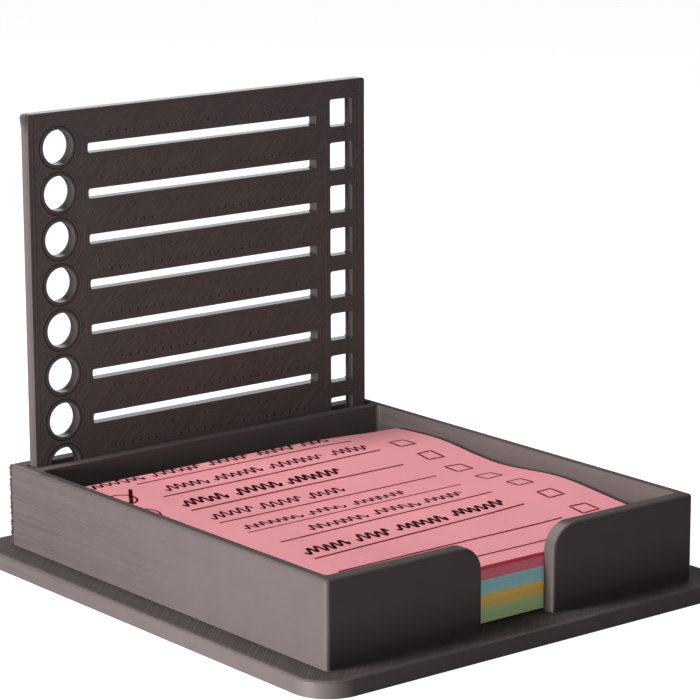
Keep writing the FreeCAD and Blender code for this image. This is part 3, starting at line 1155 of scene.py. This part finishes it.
@dataclass
class NoteMarks:
    """What is drawn on the top note through the stencil, and the pen's wavy filling of the rows."""

    note: TopNote
    first_line: float = -39.9
    pitch: float = 8.4
    line_count: int = 9
    line_left: float = -26.8
    line_right: float = 23.0
    line_width: float = 0.5
    left_drops: tuple[float, ...] = (-0.5, 0.8, 2.4, 1.3, 0.8, 0.1, 0.5, 0.8, 0.5)
    right_drops: tuple[float, ...] = (-0.5, 0.5, 0.0, 0.0, 0.0, 0.0, 0.0, 0.0, 0.0)
    box_place: float = 30.2
    box_rise: float = 1.5
    box_size: float = 3.6
    circle_spots: tuple[Spot, ...] = ((-34.3, 20.6), (-34.9, 12.3))
    circle_size: float = 5.2
    paper_edge: float = -37.6
    pen_width: float = 0.5
    bold_width: float = 0.64
    tick_width: float = 0.75
    stroke_height: float = 5.2
    stroke_gap: float = 0.9
    stroke_lean: float = 0.35
    word_length: Span = (7.0, 13.0)
    word_gap: Span = (1.6, 2.6)
    shortest_word: float = 6.0
    ink_height: float = 0.03
    ink_weld: float = 0.0005
    step: float = 0.8
    seed: int = 21

    def build(self) -> None:
        """Makes and dresses the marks, one piece for each kind."""
        chance = random.Random(self.seed)
        black = PenInk().build()
        red = PenInk("red_ink", (0.15, 0.008, 0.012), (0.23, 0.014, 0.02)).build()
        kinds = (
            ("ruled_lines", red, list(self.lines(chance))),
            ("check_boxes", red, list(self.boxes(chance))),
            ("row_circles", red, list(self.circles(chance))),
            ("tick_mark", black, [self.tick()]),
            ("pen_waves", black, list(self.waves(chance))),
        )
        for name, ink, strokes in kinds:
            self.note.publish(name, self.draw(strokes), ink, None)

    def row(self, number: int, x: float) -> float:
        """Where a ruled line lies from front to rear, since each was drawn a little askew.

        Args:
            number: the line's number, counted from the front.
            x: a place along it.

        Returns:
            Its place there, in millimetres.
        """
        share = (self.line_right - x) / (self.line_right - self.line_left)
        drop = self.left_drops[number] * share + self.right_drops[number] * (1 - share)
        return self.first_line + number * self.pitch - drop

    def lines(self, chance: random.Random) -> Iterator[Stroke]:
        """The ruled lines, not quite straight."""
        for number in range(self.line_count):
            left = self.line_left + chance.uniform(-0.4, 0.4)
            right = self.line_right + chance.uniform(-1.0, 1.0)
            middle = (left + right) / 2
            bend = self.row(number, middle) + chance.uniform(-0.15, 0.15)
            end = self.row(number, right) + chance.uniform(-0.2, 0.2)
            spots = [(left, self.row(number, left)), (middle, bend), (right, end)]
            yield Stroke(spots, self.line_width)

    def boxes(self, chance: random.Random) -> Iterator[Stroke]:
        """The check boxes at the right, each drawn round a square hole."""
        half = self.box_size / 2
        for number in range(1, self.line_count - 1):
            y = self.row(number, self.line_right) + self.box_rise
            corners = []
            for across, along in ((-half, -half), (half, -half), (half, half), (-half, half)):
                shift = (chance.uniform(-0.2, 0.2), chance.uniform(-0.2, 0.2))
                corners.append((self.box_place + across + shift[0], y + along + shift[1]))
            yield Stroke([*corners, corners[0]], self.line_width, closed=True)

    def circles(self, chance: random.Random) -> Iterator[Stroke]:
        """The circles at the left of the two rearmost tasks, as far as they lie on the paper."""
        steps = 20
        for x, y in self.circle_spots:
            radius = self.circle_size / 2 * chance.uniform(0.96, 1.04)
            start = math.acos(max((self.paper_edge - x) / radius, -1.0))
            angles = [start - 2 * start * step / steps for step in range(steps + 1)]
            spots = [(x + radius * math.cos(angle), y + radius * math.sin(angle)) for angle in angles]
            yield Stroke(spots, self.line_width, True)

    def tick(self) -> Stroke:
        """A tick over the rearmost circle."""
        x, y = self.circle_spots[0]
        spots = [(x - 1.4, y - 0.4), (x + 0.1, y - 2.7), (x + 1.0, y - 1.4), (x + 4.6, y + 4.2)]
        return Stroke(spots, self.tick_width, True)

    def waves(self, chance: random.Random) -> Iterator[Stroke]:
        """Wavy pen lines of several lengths along the rows, which stand for writing without any letters."""
        rows = (
            (2, -26.5, 26.0, self.bold_width),
            (3, -18.0, 22.5, self.pen_width),
            (4, -25.5, 16.5, self.pen_width),
            (5, -26.0, 9.5, self.pen_width),
            (6, -26.5, 14.0, self.bold_width),
            (7, -24.5, 22.5, self.pen_width),
            (8, -35.0, 19.5, self.pen_width),
        )
        for number, left, right, width in rows:
            x = left
            while x < right - self.shortest_word:
                length = min(chance.uniform(*self.word_length), right - x)
                low = self.row(number, x) + self.stroke_gap
                yield Stroke(self.wave(x, x + length, low, chance), width, True)
                x += length + chance.uniform(*self.word_gap)

    def wave(self, left: float, right: float, y: float, chance: random.Random) -> list[Spot]:
        """The places of one wavy line.

        Args:
            left: where it starts.
            right: where it ends.
            y: its lower edge.
            chance: source of its unevenness.

        Returns:
            The places.
        """
        spots = [(left, y + self.stroke_height * 0.4)]
        x = left + 0.4
        high = False
        while x < right:
            level = chance.uniform(0.85, 1.05) if high else chance.uniform(-0.05, 0.1)
            lean = self.stroke_lean if high else 0.0
            spots.append((x + lean, y + level * self.stroke_height))
            x += chance.uniform(0.75, 1.0)
            high = not high
        return [*spots, (right + 0.3, y + self.stroke_height * 0.5)]

    def draw(self, strokes: list[Stroke]) -> bmesh.types.BMesh:
        """Lays strokes on the note as thin ribbons of ink.

        Args:
            strokes: the strokes.

        Returns:
            Their mesh, in place.
        """
        pen = bpy.data.curves.new("pen", "CURVE")
        pen.dimensions = "3D"
        pen.bevel_depth = MM
        pen.bevel_resolution = 1
        pen.resolution_u = 5
        pen.use_fill_caps = True
        for stroke in strokes:
            self.add_spline(pen, stroke)
        holder = bpy.data.objects.new("pen", pen)
        mesh = bpy.data.meshes.new_from_object(holder)
        shape = bmesh.new()
        shape.from_mesh(mesh)
        bmesh.ops.remove_doubles(shape, verts=shape.verts[:], dist=self.ink_weld * MM)
        bpy.data.objects.remove(holder)
        bpy.data.curves.remove(pen)
        bpy.data.meshes.remove(mesh)
        for vert in shape.verts:
            flat = vert.co.z / (self.pen_width / 2 * MM)
            height = self.note.height(vert.co.x / MM, vert.co.y / MM)
            vert.co.z = (height + self.ink_height * (0.4 + 0.6 * flat)) * MM
        return shape

    def fine(self, spots: list[Spot]) -> list[Spot]:
        """The places of a straight stroke with more between them, so that it follows the paper's waves."""
        fine = [spots[0]]
        for start, end in zip(spots, spots[1:]):
            parts = max(1, math.ceil(math.dist(start, end) / self.step))
            for part in range(1, parts + 1):
                share = part / parts
                fine.append(tuple(a + (b - a) * share for a, b in zip(start, end)))
        return fine

    def add_spline(self, pen: bpy.types.Curve, stroke: Stroke) -> None:
        """Adds a stroke to a curve of 1 mm depth, so that a point's radius is half the stroke's width."""
        spline = pen.splines.new("NURBS" if stroke.curved else "POLY")
        spots = stroke.spots if stroke.curved else self.fine(stroke.spots)
        if stroke.closed:
            spots = spots[:-1]
        spline.use_cyclic_u = stroke.closed
        spline.points.add(len(spots) - 1)
        for point, (x, y) in zip(spline.points, spots):
            point.co = (x * MM, y * MM, 0.0, 1.0)
            point.radius = stroke.width / 2
        if stroke.curved:
            spline.order_u = 3
            spline.use_endpoint_u = True


@dataclass(frozen=True)
class Lamp:
    """A soft box of light."""

    name: str
    place: Place
    aim: Place
    width: float
    height: float
    watts: float
    mirrored: bool = True

    def build(self) -> None:
        """Hangs the lamp."""
        light = bpy.data.lights.new(self.name, "AREA")
        light.shape = "RECTANGLE"
        light.size = self.width * MM
        light.size_y = self.height * MM
        light.energy = self.watts
        lamp = bpy.data.objects.new(self.name, light)
        lamp.visible_glossy = self.mirrored
        lamp.location = Vector(self.place) * MM
        lamp.rotation_euler = (Vector(self.aim) - Vector(self.place)).to_track_quat("-Z", "Y").to_euler()
        bpy.context.scene.collection.objects.link(lamp)


@dataclass
class Studio:
    """Pale floor, white surroundings, soft lamps and the photograph's point of view."""

    camera_place: Place = (-331.268, -417.636, 163.449)
    azimuth_deg: float = 38.53
    elevation_deg: float = 12.84
    roll_deg: float = -0.2
    lens: float = 157.955
    sensor: float = 36.0
    nearest: float = 10.0
    farthest: float = 10000.0
    floor_half: float = 3000.0
    floor_drop: float = 0.05
    floor_grey: float = 0.38
    floor_glow: float = 0.92
    ambient: float = 0.06

    def build(self) -> None:
        """Sets up everything round the object."""
        bpy.context.scene.view_settings.view_transform = "Standard"
        self.add_camera()
        self.add_floor()
        self.add_surroundings()
        for lamp in self.lamps():
            lamp.build()
            LOG.info("lamp %s: %.1f W", lamp.name, lamp.watts)

    def lamps(self) -> Iterator[Lamp]:
        """The lamps: a low and a high one at the left, and weak ones in front, behind and below."""
        yield Lamp("left_low", (-600.0, -30.0, 60.0), (0.0, -30.0, 60.0), 200.0, 100.0, 6.7)
        yield Lamp("left_high", (-483.0, 107.0, 510.0), (0.0, 0.0, 15.0), 180.0, 180.0, 4.6)
        yield Lamp("front_fill", (-450.0, -700.0, 320.0), (0.0, 0.0, 15.0), 400.0, 300.0, 1.4)
        yield Lamp("rear_fill", (550.0, 300.0, 70.0), (0.0, 0.0, 40.0), 200.0, 100.0, 1.7, False)
        yield Lamp("under_fill", (0.0, 0.0, -600.0), (0.0, 0.0, 0.0), 250.0, 250.0, 2.5, False)

    def add_camera(self) -> None:
        """Puts the camera where the photograph was taken from."""
        data = bpy.data.cameras.new("camera")
        data.lens = self.lens
        data.sensor_width = self.sensor
        data.clip_start = self.nearest * MM
        data.clip_end = self.farthest * MM
        camera = bpy.data.objects.new("camera", data)
        heading = Matrix.Rotation(math.radians(-self.azimuth_deg), 4, "Z")
        tilt = Matrix.Rotation(math.radians(90 - self.elevation_deg), 4, "X")
        roll = Matrix.Rotation(math.radians(self.roll_deg), 4, "Z")
        camera.matrix_world = Matrix.Translation(Vector(self.camera_place) * MM) @ heading @ tilt @ roll
        bpy.context.scene.collection.objects.link(camera)
        bpy.context.scene.camera = camera

    def seen(self, shader: Shader) -> Link:
        """1 for what the camera sees, directly or in a reflection, and 0 for what only gets light."""
        path = self.light_path(shader)
        return path["Is Camera Ray"].most(path["Is Glossy Ray"]).most(path["Is Transmission Ray"])

    def light_path(self, shader: Shader) -> dict[str, Link]:
        """The outputs of a Light Path node by name."""
        node = shader.node("ShaderNodeLightPath", {}, {})
        return {output.name: Link(shader, output) for output in node.outputs}

    def add_floor(self) -> None:
        """Lays the floor, which looks near white, keeps the object's shadow and is clear from below."""
        shader, material = Shader.of_material("studio_floor")
        grey = (self.floor_grey,) * 3
        matt = shader.link("ShaderNodeBsdfDiffuse", {}, {"Color": (*grey, 1.0)})
        glow = shader.link("ShaderNodeEmission", {}, {"Strength": self.seen(shader) * self.floor_glow})
        both = shader.link("ShaderNodeAddShader", {}, {0: matt, 1: glow})
        under = shader.link("ShaderNodeNewGeometry", {}, {}, "Backfacing")
        through = under.most(self.light_path(shader)["Is Shadow Ray"])
        clear = shader.link("ShaderNodeBsdfTransparent", {}, {})
        surface = shader.link("ShaderNodeMixShader", {}, {0: through, 1: both, 2: clear})
        shader.node("ShaderNodeOutputMaterial", {}, {"Surface": surface})
        shape = bmesh.new()
        matrix = Matrix.Translation((0.0, 0.0, -self.floor_drop * MM))
        bmesh.ops.create_grid(shape, x_segments=1, y_segments=1, size=self.floor_half * MM, matrix=matrix)
        mesh = bpy.data.meshes.new("studio_floor")
        shape.to_mesh(mesh)
        shape.free()
        mesh.materials.append(material)
        floor = bpy.data.objects.new("studio_floor", mesh)
        bpy.context.scene.collection.objects.link(floor)
        floor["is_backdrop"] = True

    def add_surroundings(self) -> None:
        """White all round for the eye, and a low even light for the object."""
        world = bpy.data.worlds.new("surroundings")
        world.use_nodes = True
        shader = Shader(world.node_tree)
        strength = self.ambient + (1 - self.ambient) * self.seen(shader)
        white = {"Color": (1.0, 1.0, 1.0, 1.0), "Strength": strength}
        light = shader.link("ShaderNodeBackground", {}, white)
        shader.node("ShaderNodeOutputWorld", {}, {"Surface": light})
        bpy.context.scene.world = world


def write_sizes() -> None:
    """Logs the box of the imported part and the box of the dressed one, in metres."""
    boxes = {"cad": CAD_BOX, "visual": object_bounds()}
    plain = {name: [list(corner) for corner in box] for name, box in boxes.items()}
    LOG.info("boxes: %s", plain)


def main() -> None:
    """Builds the studio and the pieces in order."""
    logging.basicConfig(level=logging.INFO, format="%(name)s: %(message)s")
    Studio().build()
    PrintedTray().build()
    PrintedStencil().build()
    note = TopNote()
    NotePad().build(note)
    note.build()
    NoteMarks(note).build()
    write_sizes()


if __name__ == "__main__":
    main()
